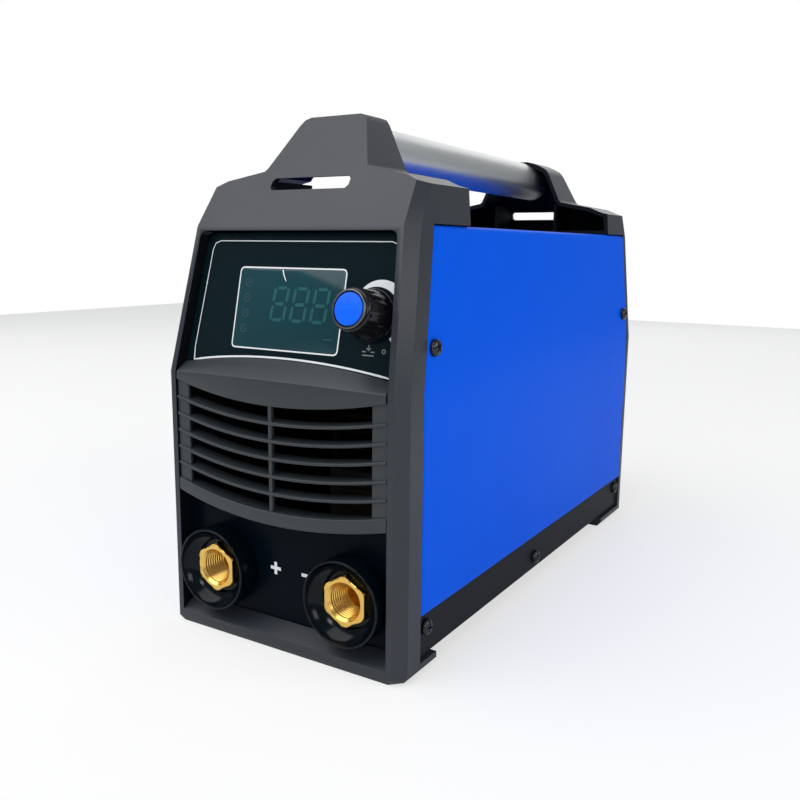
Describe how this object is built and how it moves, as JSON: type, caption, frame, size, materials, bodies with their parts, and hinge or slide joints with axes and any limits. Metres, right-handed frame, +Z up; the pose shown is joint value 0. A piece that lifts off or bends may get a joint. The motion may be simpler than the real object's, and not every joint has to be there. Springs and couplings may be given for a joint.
{
  "type": "stick welding inverter",
  "caption": "Portable inverter case for stick welding with a bar handle, display with a push-and-turn knob, curved vent louvres and bayonet weld sockets.",
  "frame": {"origin": "centre of the bounding box at the bottom of the feet", "axes": "+X to the right seen from the front, the front faces -Y, +Z up"},
  "size_m": [0.1352, 0.3207, 0.2383],
  "materials": {
    "case_charcoal": "satin moulded",
    "cover_blue": "semi gloss",
    "sheet_black": "satin powder coat",
    "grille_black": "satin",
    "panel_black": "gloss",
    "socket_black": "gloss",
    "brass": "turned",
    "nut_nylon": "moulded",
    "copper": "bare copper",
    "overlay_black": "gloss film",
    "window_tint": "tinted clear plastic",
    "carrier_black": "moulded",
    "lcd_grey": "display glass",
    "board_green": "solder mask",
    "knob_black": "gloss",
    "ring_silver": "plated",
    "cap_blue": "satin",
    "shaft_steel": "turned",
    "encoder_grey": "stamped",
    "handle_aluminium": "satin",
    "fan_black": "moulded",
    "guard_steel": "plated wire",
    "gland_nylon": "moulded nylon",
    "rocker_red": "gloss",
    "steel_zinc": "zinc plated",
    "sink_aluminium": "extruded",
    "ferrite": "ceramic",
    "tape_yellow": "tape",
    "winding_copper": "enamelled wire",
    "capacitor_sleeve": "sleeve",
    "screw_black": "black zinc"
  },
  "bodies": {
    "root": {"front_bezel": "case_charcoal", "rear_bezel": "case_charcoal", "side_cover": "cover_blue", "base_tray": "sheet_black", "vent_grille": "grille_black", "output_panel": "panel_black", "socket_cup_positive": "socket_black", "socket_insert_positive": "brass", "socket_nut_positive": "nut_nylon", "busbar_positive": "copper", "socket_cup_negative": "socket_black", "socket_insert_negative": "brass", "socket_nut_negative": "nut_nylon", "busbar_negative": "copper", "display_overlay": "overlay_black", "display_window": "window_tint", "display_carrier": "carrier_black", "lcd_module": "lcd_grey", "control_board": "board_green", "encoder_body": "encoder_grey", "handle_tube": "handle_aluminium", "fan_frame": "fan_black", "fan_guard": "guard_steel", "switch_body": "gland_nylon", "cord_gland": "gland_nylon", "gland_nut": "gland_nylon", "main_board": "board_green", "standoff_1": "steel_zinc", "standoff_2": "steel_zinc", "standoff_3": "steel_zinc", "standoff_4": "steel_zinc", "heatsink_left": "sink_aluminium", "heatsink_right": "sink_aluminium", "transformer_core": "ferrite", "transformer_winding": "tape_yellow", "output_choke": "winding_copper", "capacitor_1": "capacitor_sleeve", "capacitor_2": "capacitor_sleeve", "bridge_rectifier": "carrier_black", "screw_front_upper_right": "screw_black", "screw_front_upper_left": "screw_black", "screw_front_lower_right": "screw_black", "screw_front_lower_left": "screw_black", "screw_middle_right": "screw_black", "screw_middle_left": "screw_black", "screw_rear_lower_right": "screw_black", "screw_rear_lower_left": "screw_black", "screw_rear_upper_right": "screw_black", "screw_rear_upper_left": "screw_black"},
    "knob_press": {"encoder_shaft": "shaft_steel"},
    "knob": {"knob_body": "knob_black", "knob_ring": "ring_silver", "knob_cap": "cap_blue"},
    "rocker": {"switch_rocker": "rocker_red"},
    "fan": {"fan_rotor": "fan_black"}
  },
  "joints": [
    {"name": "knob_push", "type": "slide", "parent": "root", "child": "knob_press", "axis": [0, 0.9758, -0.2188], "range_m": [0, 0.001], "stiffness_N_per_m": 2500, "springref_m": -0.0006},
    {"name": "knob_turn", "type": "hinge", "parent": "knob_press", "child": "knob", "pos_m": [0.0438, -0.14538, 0.15364], "axis": [0, -0.9758, 0.2188], "continuous": true},
    {"name": "switch_rock", "type": "hinge", "parent": "root", "child": "rocker", "pos_m": [-0.026, 0.14375, 0.15], "axis": [0, 0, 1], "range_deg": [0, 24]},
    {"name": "fan_spin", "type": "hinge", "parent": "root", "child": "fan", "pos_m": [0, 0.12775, 0.064], "axis": [0, 1, 0], "continuous": true}
  ]
}
